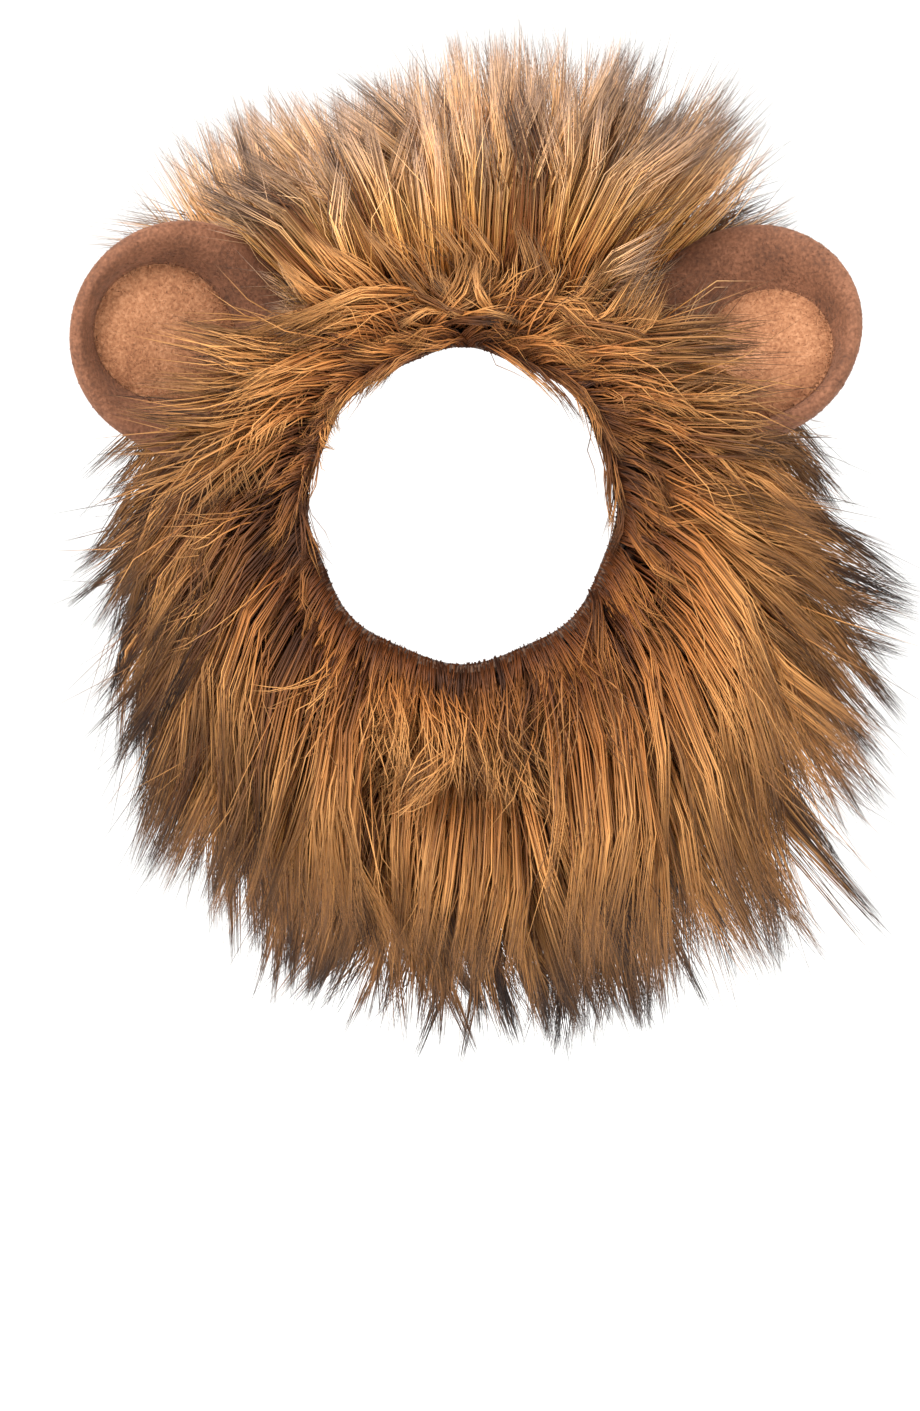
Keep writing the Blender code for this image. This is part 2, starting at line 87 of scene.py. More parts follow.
def hood_inside(turn, along):
    """Ovals round the face opening's axis: half the width times the cosine of the turn across, the crown's or
    the bib's reach times its sine up, and the hood's depth at that turn times along backwards."""
    rise, side = np.sin(turn), np.cos(turn)
    half = FACE_WIDTH / 2 + (HEAD_WIDTH - FACE_WIDTH) / 2 * through("width", along)
    up = FACE_HEIGHT / 2 + (CROWN_RISE - FACE_HEIGHT / 2) * through("crown", along)
    down = FACE_HEIGHT / 2 + (BIB_DROP - FACE_HEIGHT / 2) * through("bib", along)
    depth = BIB_DEPTH + (HOOD_DEPTH - BIB_DEPTH) * ((1 + rise) / 2) ** SIDE_DEPTH_POWER
    back = depth * along + FACE_LEAN * rise * (1 - along)
    return np.stack([half * side, back, np.where(rise > 0, up, down) * rise], axis=-1)


def hood_normal(turn, along):
    """The cross product of the hood's slopes backwards and round."""
    near = 1e-4
    across = hood_inside(turn + near, along) - hood_inside(turn - near, along)
    backwards = hood_inside(turn, along + near) - hood_inside(turn, along - near)
    return unit(np.cross(backwards, across))


def hood_point(turn, along, lift):
    """The inner face plus its normal times the lift and the gathers, a cosine that fades from the face."""
    turn, along, lift = np.broadcast_arrays(turn, along, lift)
    fade = np.exp(-((along * HOOD_DEPTH / GATHER_LENGTH) ** 2))
    ripple = GATHER_DEPTH * np.cos(GATHERS * turn) * fade
    return hood_inside(turn, along) + hood_normal(turn, along) * (lift + ripple)[..., None]


def outer_lift(along):
    """The cloth's thickness plus a rounded hem at each rim."""
    from_rim = np.minimum(np.abs(along), np.abs(1 - along)) * HOOD_DEPTH / HEM_LENGTH
    return WALL + HEM_THICK * np.exp(-(from_rim**2))


def piece_from(name, points, triangles, uv=None):
    """A smooth mesh object at the origin. points are in mm about the face opening's middle, and the UV map is
    given point by point."""
    mesh = bpy.data.meshes.new(name)
    triangles = np.asarray(triangles, np.int32)
    mesh.vertices.add(len(points))
    mesh.vertices.foreach_set("co", ((np.asarray(points) + FACE) * 0.001).astype(np.float32).ravel())
    mesh.loops.add(triangles.size)
    mesh.loops.foreach_set("vertex_index", triangles.ravel())
    mesh.polygons.add(len(triangles))
    mesh.polygons.foreach_set("loop_start", np.arange(0, triangles.size, 3, dtype=np.int32))
    mesh.update(calc_edges=True)
    mesh.polygons.foreach_set("use_smooth", np.ones(len(triangles), bool))
    if uv is not None:
        layer = mesh.uv_layers.new(name="OFBake")
        layer.uv.foreach_set("vector", np.asarray(uv, np.float32)[triangles.ravel()].ravel())
    made = bpy.data.objects.new(name, mesh)
    bpy.context.scene.collection.objects.link(made)
    return made


def wrapped_grid(rows, columns, closed_rows):
    """Triangles of a grid of points that closes round its columns, and round its rows too for a ring."""
    i, j = np.meshgrid(np.arange(rows if closed_rows else rows - 1), np.arange(columns), indexing="ij")
    a, b = i * columns + j, i * columns + (j + 1) % columns
    below = (i + 1) % rows * columns
    c, d = below + (j + 1) % columns, below + j
    return np.concatenate([np.stack([a, b, c], -1).reshape(-1, 3), np.stack([a, c, d], -1).reshape(-1, 3)])


def linear(code):
    """An sRGB hex colour as linear red, green, blue and alpha."""
    channels = [int(code[i : i + 2], 16) / 255 for i in (0, 2, 4)]
    return (*[c / 12.92 if c <= 0.04045 else ((c + 0.055) / 1.055) ** 2.4 for c in channels], 1.0)


def node(tree, kind, settings=None, links=None):
    """Adds a node. settings go to its properties and unlinked inputs, and links join its inputs to sockets."""
    made = tree.nodes.new(kind)
    for key, value in (settings or {}).items():
        if isinstance(key, int) or key in made.inputs:
            made.inputs[key].default_value = value
        else:
            setattr(made, key, value)
    for key, socket in (links or {}).items():
        tree.links.new(made.inputs[key], socket)
    return made


def new_material(name):
    """An empty material with its Principled shader joined to the output."""
    made = bpy.data.materials.new(name)
    made.use_nodes = True
    made.node_tree.nodes.clear()
    shader = node(made.node_tree, "ShaderNodeBsdfPrincipled", {"Metallic": 0.0})
    node(made.node_tree, "ShaderNodeOutputMaterial", links={"Surface": shader.outputs["BSDF"]})
    return made, made.node_tree, shader


def ramp(tree, factor, stops):
    """A colour ramp with (place, hex colour) stops."""
    made = node(tree, "ShaderNodeValToRGB", links={"Fac": factor})
    elements = made.color_ramp.elements
    while len(elements) < len(stops):
        elements.new(0.5)
    for element, (place, code) in zip(elements, stops):
        element.position = place
        element.color = linear(code)
    return made.outputs["Color"]


# Polyester knit: wales 1.4 mm apart run from face to neck, with a course every 1.1 mm.
WALES, COURSES = 268, 86
knit, tree, shader = new_material("polyester_knit")
grid_uv = node(tree, "ShaderNodeUVMap", {"uv_map": "OFBake"}).outputs["UV"]
split = node(tree, "ShaderNodeSeparateXYZ", links={"Vector": grid_uv})
wale = node(tree, "ShaderNodeMath", {"operation": "MULTIPLY", 1: WALES * math.pi}, {0: split.outputs["X"]})
wale = node(tree, "ShaderNodeMath", {"operation": "SINE"}, {0: wale.outputs[0]})
wale = node(tree, "ShaderNodeMath", {"operation": "ABSOLUTE"}, {0: wale.outputs[0]})
course = node(tree, "ShaderNodeMath", {"operation": "MULTIPLY", 1: COURSES * math.tau}, {0: split.outputs["Y"]})
course = node(tree, "ShaderNodeMath", {"operation": "SINE"}, {0: course.outputs[0]})
stitch = node(
    tree, "ShaderNodeMath", {"operation": "MULTIPLY_ADD", 1: 0.18}, {0: course.outputs[0], 2: wale.outputs[0]}
)
knit_colour = ramp(tree, stitch.outputs[0], ((0.0, "24150C"), (0.5, "452C1B"), (1.0, "5E3F29")))
tree.links.new(shader.inputs["Base Color"], knit_colour)
bump = node(tree, "ShaderNodeBump", {"Strength": 0.5, "Distance": 0.0004}, {"Height": stitch.outputs[0]})
tree.links.new(shader.inputs["Normal"], bump.outputs["Normal"])
shader.inputs["Roughness"].default_value = 0.9
shader.inputs["Sheen Weight"].default_value = 0.15

HOOD_COLUMNS = 192
# Rings on the outer face, as shares of the way along: they are closest where the hems curve.
outside = np.array(
    [0.0, 0.02, 0.045, 0.07, 0.11, 0.16, 0.23, 0.31, 0.4, 0.5, 0.6, 0.7, 0.8, 0.88, 0.93, 0.96, 0.985, 1.0]
)
inside = outside[::-1][1:-1:2]
nose = 0.4 * HEM_THICK / HOOD_DEPTH
profile_along = np.concatenate([[-nose], outside, [1 + nose], [1.0], inside, [0.0]])
profile_lift = np.concatenate(
    [[outer_lift(0) / 2], outer_lift(outside), [outer_lift(1) / 2], np.zeros(len(inside) + 2)]
)
hood_turn = np.linspace(0, math.tau, HOOD_COLUMNS, endpoint=False)
hood_grid = hood_point(hood_turn[None, :], profile_along[:, None], profile_lift[:, None])
hood_uv = np.stack(
    np.broadcast_arrays(hood_turn[None, :] / math.tau, np.clip(profile_along, 0, 1)[:, None]), -1
)
hood_knit = piece_from(
    "hood_knit",
    hood_grid.reshape(-1, 3),
    wrapped_grid(len(profile_along), HOOD_COLUMNS, True)[:, ::-1],
    hood_uv.reshape(-1, 2),
)
hood_knit.data.materials.append(knit)
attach(hood_knit, "root")
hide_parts("hood")


# The fur's mat.
# The short, dense underfur of the long-pile cloth, 4 mm deep, which the long hair stands in. It hides
# the backing, and its very dark colour is painted shade: the depth seen between the locks.
MAT_LOW, MAT_HIGH = 0.4, 4.2
MAT_COLUMNS = 160

underfur_and_shade, tree, shader = new_material("acrylic_underfur_painted_shade")
place = node(tree, "ShaderNodeTexCoord").outputs["Object"]
# Tufts of underfur are about 2 mm across.
speck = node(tree, "ShaderNodeTexNoise", {"Scale": 500.0, "Detail": 3.0}, {"Vector": place})
# Painted shade: these near-black browns stand in for the shade deep between the locks, over the underfur's own
# brown.
underfur_shade_colour = ramp(tree, speck.outputs["Fac"], ((0.3, "1C0E07"), (0.6, "43240F"), (0.8, "66401F")))
tree.links.new(shader.inputs["Base Color"], underfur_shade_colour)
bump = node(tree, "ShaderNodeBump", {"Strength": 0.8, "Distance": 0.001}, {"Height": speck.outputs["Fac"]})
tree.links.new(shader.inputs["Normal"], bump.outputs["Normal"])
shader.inputs["Roughness"].default_value = 0.95

# The mat is thinnest at its two edges, which lie just inside the hems.
MAT_FIRST, MAT_LAST, MAT_ROWS, MAT_EDGE = 0.035, 0.985, 20, 0.35
mat_out = np.linspace(MAT_FIRST, MAT_LAST, MAT_ROWS)
mat_along = np.concatenate([mat_out, mat_out[::-1]])
swell = np.sin(np.linspace(MAT_EDGE, math.pi - MAT_EDGE, MAT_ROWS)) ** 0.4
mat_lift = np.concatenate([outer_lift(mat_out) + MAT_HIGH * swell, outer_lift(mat_out[::-1]) + MAT_LOW])
mat_turn = np.linspace(0, math.tau, MAT_COLUMNS, endpoint=False)
mat_grid = hood_point(mat_turn[None, :], mat_along[:, None], mat_lift[:, None])
mat_faces = wrapped_grid(len(mat_along), MAT_COLUMNS, True)[:, ::-1]
fur_mat = piece_from("fur_mat", mat_grid.reshape(-1, 3), mat_faces)
fur_mat.data.materials.append(underfur_and_shade)
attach(fur_mat, "root")
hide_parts("crest_fur", "ruff_fur", "bib_fur")


# The ears.
# Two round ears of short brown plush over stuffing: a dish with a thick rolled rim, and a crowned pad of
# lighter plush sewn into it. They are sewn to the hood through slits in the fur, and turned a little unlike.
EAR_WIDTH, EAR_HEIGHT, EAR_BASE = 66.0, 66.0, 1.3
EAR_CUP, EAR_ROLL, EAR_SUNK = 10.0, 10.0, 7.0
EAR_PAD_RISE, EAR_PAD_REACH = 5.5, 0.58
EAR_COLUMNS = 120

# The hollow and its pad lie a little aside and up from the rim's middle, in mm along the ear's own axes.
Ear = namedtuple("Ear", "side turn_deg along splay_deg lean_back_deg face_left_deg hollow_aside hollow_up")
EARS = (
    Ear("right", 151, 0.36, -53, -10, 16, -2.8, 5.4),
    Ear("left", 25, 0.36, 53, 20, -16, 6.2, 1.6),
)
# The dish's front and back, as shares of the roll from its middle surface.
EarSection = namedtuple("EarSection", "reach front back")
EAR_SECTIONS = (
    EarSection(0.00, 0.08, 0.34),
    EarSection(0.28, 0.08, 0.36),
    EarSection(0.46, 0.08, 0.40),
    EarSection(0.56, 0.10, 0.43),
    EarSection(0.62, 0.20, 0.46),
    EarSection(0.68, 0.40, 0.48),
    EarSection(0.75, 0.54, 0.48),
    EarSection(0.83, 0.58, 0.46),
    EarSection(0.90, 0.50, 0.38),
    EarSection(0.96, 0.32, 0.22),
    EarSection(1.00, 0.04, -0.04),
)


def turned(axis, degrees):
    """The matrix of a turn about a row axis, by the right-hand rule."""
    c, s = math.cos(math.radians(degrees)), math.sin(math.radians(degrees))
    i, j = {"X": (1, 2), "Y": (2, 0), "Z": (0, 1)}[axis]
    made = np.eye(3)
    made[i, i], made[i, j], made[j, i], made[j, j] = c, -s, s, c
    return made


def ear_frame(ear):
    """The ear's middle and its turned axes: splayed, leant back, then faced to the side."""
    turn = math.radians(ear.turn_deg)
    sewn_at = hood_point(turn, ear.along, outer_lift(ear.along))
    splay = turned("Y", ear.splay_deg)
    middle = sewn_at + splay @ np.array([0, 0, EAR_BASE * EAR_HEIGHT / 2 - EAR_SUNK])
    return middle, turned("Z", ear.face_left_deg) @ turned("X", -ear.lean_back_deg) @ splay


def wall_front(reach):
    """How far the dish's front stands before its middle surface."""
    return EAR_ROLL * np.interp(reach, column(EAR_SECTIONS, "reach"), column(EAR_SECTIONS, "front"))


def wall_back(reach):
    """How far the dish's back stands behind its middle surface."""
    return EAR_ROLL * np.interp(reach, column(EAR_SECTIONS, "reach"), column(EAR_SECTIONS, "back"))


def pad_front(reach):
    """A crown that falls as the cube of the reach to the crease inside the rim."""
    share = np.clip(reach / EAR_PAD_REACH, 0, 1)
    return wall_front(np.minimum(reach, 0.5)) + 0.4 + EAR_PAD_RISE * (1 - share**3)


def inner_share(reach):
    """How far a ring shares the hollow's middle: wholly inside the crease, and not at all at the edge."""
    return np.clip((1 - reach) / (1 - EAR_PAD_REACH), 0, 1)


def ear_disc(ear, reaches, offset):
    """Rings on the cupped dish at each reach, set off along the ear's own axis. The lower half is longer."""
    angle = np.linspace(0, math.tau, EAR_COLUMNS, endpoint=False)
    side = EAR_WIDTH / 2 * reaches[:, None] * np.cos(angle)
    rise = EAR_HEIGHT / 2 * reaches[:, None] * np.sin(angle)
    inner = inner_share(reaches)[:, None]
    side = side + ear.hollow_aside * inner
    rise = np.where(rise < 0, EAR_BASE * rise, rise) + ear.hollow_up * inner
    deep = np.broadcast_to((offset - EAR_CUP * reaches**2)[:, None], side.shape)
    return np.stack([side, deep, rise], axis=-1).reshape(-1, 3)


samples_turn, samples_along = np.meshgrid(
    np.radians(np.arange(0, 360, 1.5)), np.linspace(0, 1, 60), indexing="ij"
)
hood_samples = hood_point(samples_turn, samples_along, outer_lift(samples_along)).reshape(-1, 3)
hood_samples_out = hood_normal(samples_turn, samples_along).reshape(-1, 3)


def clear_of_hood(points, gap):
    """Lifts each point that is nearer than gap to the hood's outer face straight out from it."""
    moved = points.copy()
    for part in np.array_split(np.arange(len(points)), max(1, len(points) // 500)):
        apart = points[part][:, None, :] - hood_samples[None]
        nearest = (apart**2).sum(-1).argmin(1)
        height = (apart[np.arange(len(part)), nearest] * hood_samples_out[nearest]).sum(-1)
        moved[part] += hood_samples_out[nearest] * np.maximum(gap - height, 0)[:, None]
    return moved


def plush(rng, points, triangles, count, nap, width, share=1.0):
    """Short fibres on a surface. Each is a three-sided spike from a random point of a random triangle, chosen
    by area and share, that leans at random from the triangle's normal. Returns the surface and fibres joined."""
    a, b, c = (points[triangles[:, i]] for i in range(3))
    across = np.cross(b - a, c - a)
    chance = np.linalg.norm(across, axis=-1) * share
    pick = rng.choice(len(triangles), count, p=chance / chance.sum())
    u, v = rng.random((2, count, 1))
    over = u + v > 1
    u, v = np.where(over, 1 - u, u), np.where(over, 1 - v, v)
    foot = a[pick] + u * (b - a)[pick] + v * (c - a)[pick]
    out = unit(unit(across[pick]) + 0.55 * rng.normal(size=(count, 3)))
    side = unit(np.cross(out, rng.normal(size=(count, 3))))
    other = np.cross(out, side)
    length = nap * rng.uniform(0.6, 1.15, (count, 1))
    around = np.radians([0, 120, 240])
    base = [foot - 0.2 * out + width / 2 * (side * math.cos(t) + other * math.sin(t)) for t in around]
    spikes = np.stack([*base, foot + out * length], axis=1).reshape(-1, 3)
    first = len(points) + 4 * np.arange(count)[:, None]
    faces = np.concatenate([first + np.array(f) for f in ((0, 1, 3), (1, 2, 3), (2, 0, 3), (2, 1, 0))])
    return np.concatenate([points, spikes]), np.concatenate([triangles, faces])


def plush_material(name, stops, rough):
    """Cut-pile polyester plush: matt, with a mottle where the pile lies in different directions."""
    made, tree, shader = new_material(name)
    place = node(tree, "ShaderNodeTexCoord").outputs["Object"]
    # Tufts of the cut pile are about 1 mm across, and brushed patches about 12 mm.
    tuft = node(tree, "ShaderNodeTexNoise", {"Scale": 1000.0, "Detail": 2.0}, {"Vector": place})
    patch = node(tree, "ShaderNodeTexNoise", {"Scale": 85.0, "Detail": 2.0}, {"Vector": place})
    mottle = node(tree, "ShaderNodeMath", {"operation": "MULTIPLY_ADD", 1: 0.6}, {0: tuft.outputs["Fac"]})
    faint = node(tree, "ShaderNodeMath", {"operation": "MULTIPLY", 1: 0.4}, {0: patch.outputs["Fac"]})
    tree.links.new(mottle.inputs[2], faint.outputs[0])
    tree.links.new(shader.inputs["Base Color"], ramp(tree, mottle.outputs[0], stops))
    bump = node(tree, "ShaderNodeBump", {"Strength": 0.5, "Distance": 0.0005}, {"Height": tuft.outputs["Fac"]})
    tree.links.new(shader.inputs["Normal"], bump.outputs["Normal"])
    shader.inputs["Roughness"].default_value = rough
    shader.inputs["Sheen Weight"].default_value = 0.35
    shader.inputs["Sheen Roughness"].default_value = 0.5
    shader.inputs["Sheen Tint"].default_value = linear("CFA388")
    return made


brown_plush = plush_material(
    "brown_polyester_plush", ((0.3, "50301F"), (0.5, "754930"), (0.7, "936145")), 0.85
)
# The tan is the pad plush's colour made a little darker as painted shade, for the hair that lies over the pads.
tan_plush = plush_material("tan_polyester_plush", ((0.3, "855233"), (0.5, "A56F4A"), (0.7, "C48D66")), 0.85)


def poles_and_grid(rings):
    """Triangles of rings of EAR_COLUMNS points with a pole point after them at each end."""
    count = rings * EAR_COLUMNS
    j = np.arange(EAR_COLUMNS)
    k = (j + 1) % EAR_COLUMNS
    first = np.stack([np.full_like(j, count), k, j], -1)
    last = np.stack([np.full_like(j, count + 1), count - EAR_COLUMNS + j, count - EAR_COLUMNS + k], -1)
    return np.concatenate([wrapped_grid(rings, EAR_COLUMNS, False), first, last])


# The shell's plush is short, and the pad's is a little longer, most of all round its edge.
SHELL_FIBRES, SHELL_NAP, SHELL_FIBRE_WIDTH = 6000, 1.6, 0.34
PAD_FIBRES, PAD_NAP, PAD_EDGE_FIBRES, PAD_EDGE_NAP, PAD_FIBRE_WIDTH = 3600, 1.8, 1500, 3.0, 0.3
SEWN_GAP = 0.6

for ear in EARS:
    rng = np.random.default_rng(21 if ear.side == "left" else 22)
    middle, axes = ear_frame(ear)
    reaches = np.array(
        [0.1, 0.2, 0.3, 0.4, 0.48, 0.54, 0.58, 0.62, 0.66, 0.7, 0.75, 0.79, 0.83, 0.87, 0.91, 0.94, 0.97, 0.99]
    )
    smooth = np.convolve(np.pad(wall_front(reaches), 1, "edge"), (0.25, 0.5, 0.25), "valid")
    back = wall_back(reaches)
    edge = ear_disc(ear, np.array([1.0]), np.array([0.0]))
    rings = [ear_disc(ear, reaches, -smooth), edge, ear_disc(ear, reaches[::-1], back[::-1])]
    poles = [(ear.hollow_aside, y, ear.hollow_up) for y in (-wall_front(0.0), wall_back(0.0))]
    local = np.concatenate([*rings, poles])
    shell = clear_of_hood(middle + local @ axes.T, SEWN_GAP)
    faces = poles_and_grid(2 * len(reaches) + 1)
    points, faces = plush(rng, shell, faces, SHELL_FIBRES, SHELL_NAP, SHELL_FIBRE_WIDTH)
    ear_shell = piece_from(f"ear_plush_{ear.side}", points, faces)
    ear_shell.data.materials.append(brown_plush)
    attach(ear_shell, "root")
    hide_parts(f"ear_shell_{ear.side}")

    reaches = np.array([0.08, 0.16, 0.24, 0.32, 0.4, 0.46, 0.51, 0.55, EAR_PAD_REACH])
    front, behind = -pad_front(reaches), -wall_front(reaches) - 0.4
    rings = [ear_disc(ear, reaches, front), ear_disc(ear, reaches[::-1] - 0.004, behind[::-1])]
    poles = [(ear.hollow_aside, -y, ear.hollow_up) for y in (pad_front(0.0), wall_front(0.0) + 0.4)]
    local = np.concatenate([*rings, poles])
    pad = clear_of_hood(middle + local @ axes.T, SEWN_GAP)
    faces = poles_and_grid(2 * len(reaches))
    from_pole = np.linalg.norm(local[faces].mean(axis=1)[:, [0, 2]] - local[-1, [0, 2]], axis=1)
    edge = from_pole > 0.8 * EAR_PAD_REACH * EAR_WIDTH / 2
    points, more = plush(rng, pad, faces, PAD_FIBRES, PAD_NAP, PAD_FIBRE_WIDTH)
    edge = np.append(edge, np.zeros(len(more) - len(faces)))
    points, faces = plush(rng, points, more, PAD_EDGE_FIBRES, PAD_EDGE_NAP, PAD_FIBRE_WIDTH, edge)
    ear_pad = piece_from(f"ear_pad_{ear.side}", points, faces)
    ear_pad.data.materials.append(tan_plush)
    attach(ear_pad, "root")
    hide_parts(f"ear_lining_{ear.side}")


# The long hair.
# Long-pile acrylic fur in three panels, sewn to the knit. Most hairs are golden with a dark root, and
# longer guard hairs are dark to the tip. The nap is combed away from the face, in wisps that cling in locks.
# A Comb row gives, at a turn round the face, the hair's heading, its share of the pile, and how light it is.
Comb = namedtuple("Comb", "turn_deg heading_deg pile tone")
CREST_COMB = (
    Comb(30, 30, 0.74, 0.50),
    Comb(45, 42, 0.90, 0.45),
    Comb(60, 54, 1.10, 0.48),
    Comb(75, 71, 1.06, 0.60),
    Comb(90, 90, 0.95, 0.70),
    Comb(107, 109, 0.88, 0.72),
    Comb(120, 124, 0.94, 0.72),
    Comb(135, 140, 0.94, 0.78),
    Comb(150, 156, 0.76, 0.66),
)
RUFF_COMB = (
    Comb(90, 188, 0.80, 0.70),
    Comb(120, 206, 0.86, 0.72),
    Comb(150, 222, 0.84, 0.58),
    Comb(182, 239, 0.90, 0.40),
    Comb(200, 247, 1.00, 0.42),
    Comb(213, 251, 1.18, 0.66),
    Comb(230, 257, 1.08, 1.06),
    Comb(250, 265, 1.10, 0.98),
    Comb(270, 271, 1.16, 0.60),
    Comb(300, 284, 1.24, 0.76),
    Comb(320, 296, 1.44, 0.68),
    Comb(338, 308, 1.28, 0.64),
    Comb(355, 320, 1.06, 0.54),
    Comb(375, 329, 0.84, 0.52),
    Comb(405, 343, 0.86, 0.60),
    Comb(450, 352, 0.80, 0.66),
)
# Where the ruff's hair is combed to at the face rim: closer round the face, and down the cheeks.
Rim = namedtuple("Rim", "turn_deg heading_deg")
FACE_COMB = (
    Rim(88, 190),
    Rim(110, 202),
    Rim(130, 212),
    Rim(150, 224),
    Rim(165, 238),
    Rim(180, 249),
    Rim(200, 258),
    Rim(230, 265),
    Rim(270, 270),
    Rim(310, 280),
    Rim(340, 290),
    Rim(358, 300),
    Rim(375, 313),
    Rim(390, 327),
    Rim(405, 339),
    Rim(430, 350),
    Rim(452, 357),
)
# How the hair leans back out of the front view along the hood, its share of the pile, and what its tone adds.
Nap = namedtuple("Nap", "along lean_deg pile tone")
CREST_NAP = (
    Nap(0.08, -8, 0.9, -0.10),
    Nap(0.20, -6, 1.0, 0.0),
    Nap(0.44, 10, 1.0, 0.08),
    Nap(0.68, 34, 0.94, -0.1),
    Nap(0.95, 60, 0.84, -0.3),
)
RUFF_NAP = (
    Nap(0.0, -6, 0.9, 0.05),
    Nap(0.09, -6, 1.0, 0.05),
    Nap(0.42, 4, 1.0, 0.0),
    Nap(0.70, 24, 0.98, -0.2),
    Nap(0.95, 46, 0.9, -0.4),
)
BIB_NAP = (
    Nap(0.28, -12, 0.9, -0.04),
    Nap(0.48, -9, 0.95, -0.08),
    Nap(0.70, -2, 1.0, -0.24),
    Nap(0.95, 8, 1.0, -0.42),
)
RIM_NAP = (Nap(0.0, 2, 1.0, 0.0), Nap(0.06, 0, 1.0, 0.0))
CREST_PILE, RUFF_PILE, BIB_PILE, CHIN_PILE, RIM_PILE = 75.0, 66.0, 64.0, 34.0, 26.0
HAIR_WIDTH = 0.55


def fur_material(name, light, dark):
    """Acrylic hair, soft and slightly glossy. V is its place from root to tip, and U is how light it is."""
    made, tree, shader = new_material(name)
    uv = node(tree, "ShaderNodeUVMap", {"uv_map": "OFBake"}).outputs["UV"]
    split = node(tree, "ShaderNodeSeparateXYZ", links={"Vector": uv})
    pale, deep = (ramp(tree, split.outputs["Y"], stops) for stops in (light, dark))
    both = node(tree, "ShaderNodeMix", {"data_type": "RGBA"})
    tree.links.new(both.inputs[0], split.outputs["X"])
    tree.links.new(both.inputs[6], deep)
    tree.links.new(both.inputs[7], pale)
    tree.links.new(shader.inputs["Base Color"], both.outputs[2])
    shader.inputs["Roughness"].default_value = 0.5
    shader.inputs["Specular IOR Level"].default_value = 0.25
    return made


golden_fur = fur_material(
    "golden_acrylic_long_pile",
    (
        (0.0, "3A1A0B"),
        (0.16, "7A3F18"),
        (0.34, "CC853D"),
        (0.54, "F6BC6E"),
        (0.78, "F8C592"),
        (0.92, "D4AE94"),
        (1.0, "94786A"),
    ),
    (
        (0.0, "281207"),
        (0.18, "4E260F"),
        (0.40, "824A22"),
        (0.58, "764626"),
        (0.76, "40291F"),
        (1.0, "1E1513"),
    ),
)
brown_fur = fur_material(
    "brown_acrylic_long_pile",
    (
        (0.0, "3E1D0D"),
        (0.14, "723E18"),
        (0.35, "BC793D"),
        (0.60, "D89C5C"),
        (0.80, "B27C4C"),
        (0.92, "604434"),
        (1.0, "2A201B"),
    ),
    (
        (0.0, "24110A"),
        (0.20, "432410"),
        (0.42, "693E20"),
        (0.60, "54321D"),
        (0.74, "261813"),
        (1.0, "120D0E"),
    ),
)


def combed(table, name, at, key="turn_deg"):
    """A column of a table at each place, by straight lines between its rows."""
    return np.interp(at, column(table, key), column(table, name))


def hair_line(root, start, end, length, t):
    """Each hair leaves along start and turns towards end: its slope is start times (1 - t) squared plus end
    times the rest, which is summed along t and times its length."""
    gone = (1 - (1 - t) ** 3) / 3
    path = start[:, None] * gone[:, None] + end[:, None] * (t - gone)[:, None]
    return root[:, None] + length[:, None, None] * path


def scattered(rng, count, first_deg, last_deg, low, high):
    """Random places on part of the hood, with as many for each square millimetre everywhere."""
    turn = np.radians(rng.uniform(first_deg, last_deg, 3 * count))
    along = rng.uniform(low, high, 3 * count)
    near = 1e-3
    across = hood_inside(turn + near, along) - hood_inside(turn - near, along)
    backwards = hood_inside(turn, along + near) - hood_inside(turn, along - near)
    area = np.linalg.norm(np.cross(backwards, across), axis=-1)
    keep = rng.choice(3 * count, count, replace=False, p=area / area.sum())
    return turn[keep], along[keep]


def nearest(points, seeds):
    """The index of the nearest seed to each point."""
    found = np.empty(len(points), int)
    for part in np.array_split(np.arange(len(points)), max(1, len(points) // 400)):
        found[part] = ((points[part][:, None] - seeds[None]) ** 2).sum(-1).argmin(1)
    return found


def about_ear(ear, points):
    """Each point's reach on the ear's dish, how far behind the dish's middle it lies, and the ear's axes."""
    middle, axes = ear_frame(ear)
    local = (points - middle) @ axes
    reach = np.ones(local.shape[:-1])
    for _ in range(3):
        side = local[..., 0] - ear.hollow_aside * inner_share(reach)
        rise = local[..., 2] - ear.hollow_up * inner_share(reach)
        rise = np.where(rise < 0, rise / EAR_BASE, rise)
        reach = np.hypot(side / (EAR_WIDTH / 2), rise / (EAR_HEIGHT / 2))
    return reach, local[..., 1] + EAR_CUP * np.minimum(reach, 1.1) ** 2, axes


def short_of_ears(root, start, end, length, over):
    """Lengths that end the hair no more than over beyond the edge of an ear that it lies in front of."""
    t = np.linspace(0, 1, 16)
    line = hair_line(root, start, end, length, t)
    for ear in EARS:
        reach, behind, _ = about_ear(ear, line)
        hides = (reach < 0.97) & (behind < 0)
        enters = np.where(hides.any(1), t[hides.argmax(1)], 9)
        length = np.minimum(length, enters * length + over)
    return length


# The fur's reach in mm about the face opening's middle, on each axis, and the shortest hair.
FUR_REACH = ((-121, 133), (-37, 138), (-166, 146))
SHORTEST = 8


def within_the_fur(root, start, end, length):
    """Lengths that end the hair inside the fur's reach, on each axis that it heads out along. The tip lies
    off the root by the length times a third of start and two thirds of end."""
    way = start / 3 + end * 2 / 3
    for axis, (least, most) in enumerate(FUR_REACH):
        room = np.where(way[:, axis] > 0, most - root[:, axis], least - root[:, axis])
        heads_out = np.abs(way[:, axis]) > 0.05
        shorter = np.minimum(length, room / np.where(heads_out, way[:, axis], 1))
        length = np.where(heads_out, shorter, length)
    return np.maximum(length, SHORTEST)


def clear_of_opening(points, edge):
    """Hair near the face rim stays out of the opening, but for a sliver: points inside edge, a share of the
    opening's oval, are moved straight out to it."""
    inside = np.hypot(points[..., 0] / (FACE_WIDTH / 2), points[..., 2] / (FACE_HEIGHT / 2))
    out = np.where((inside < edge) & (points[..., 1] < 12), edge / np.maximum(inside, 0.5), 1)
    return points * np.stack([out, np.ones_like(out), out], -1)


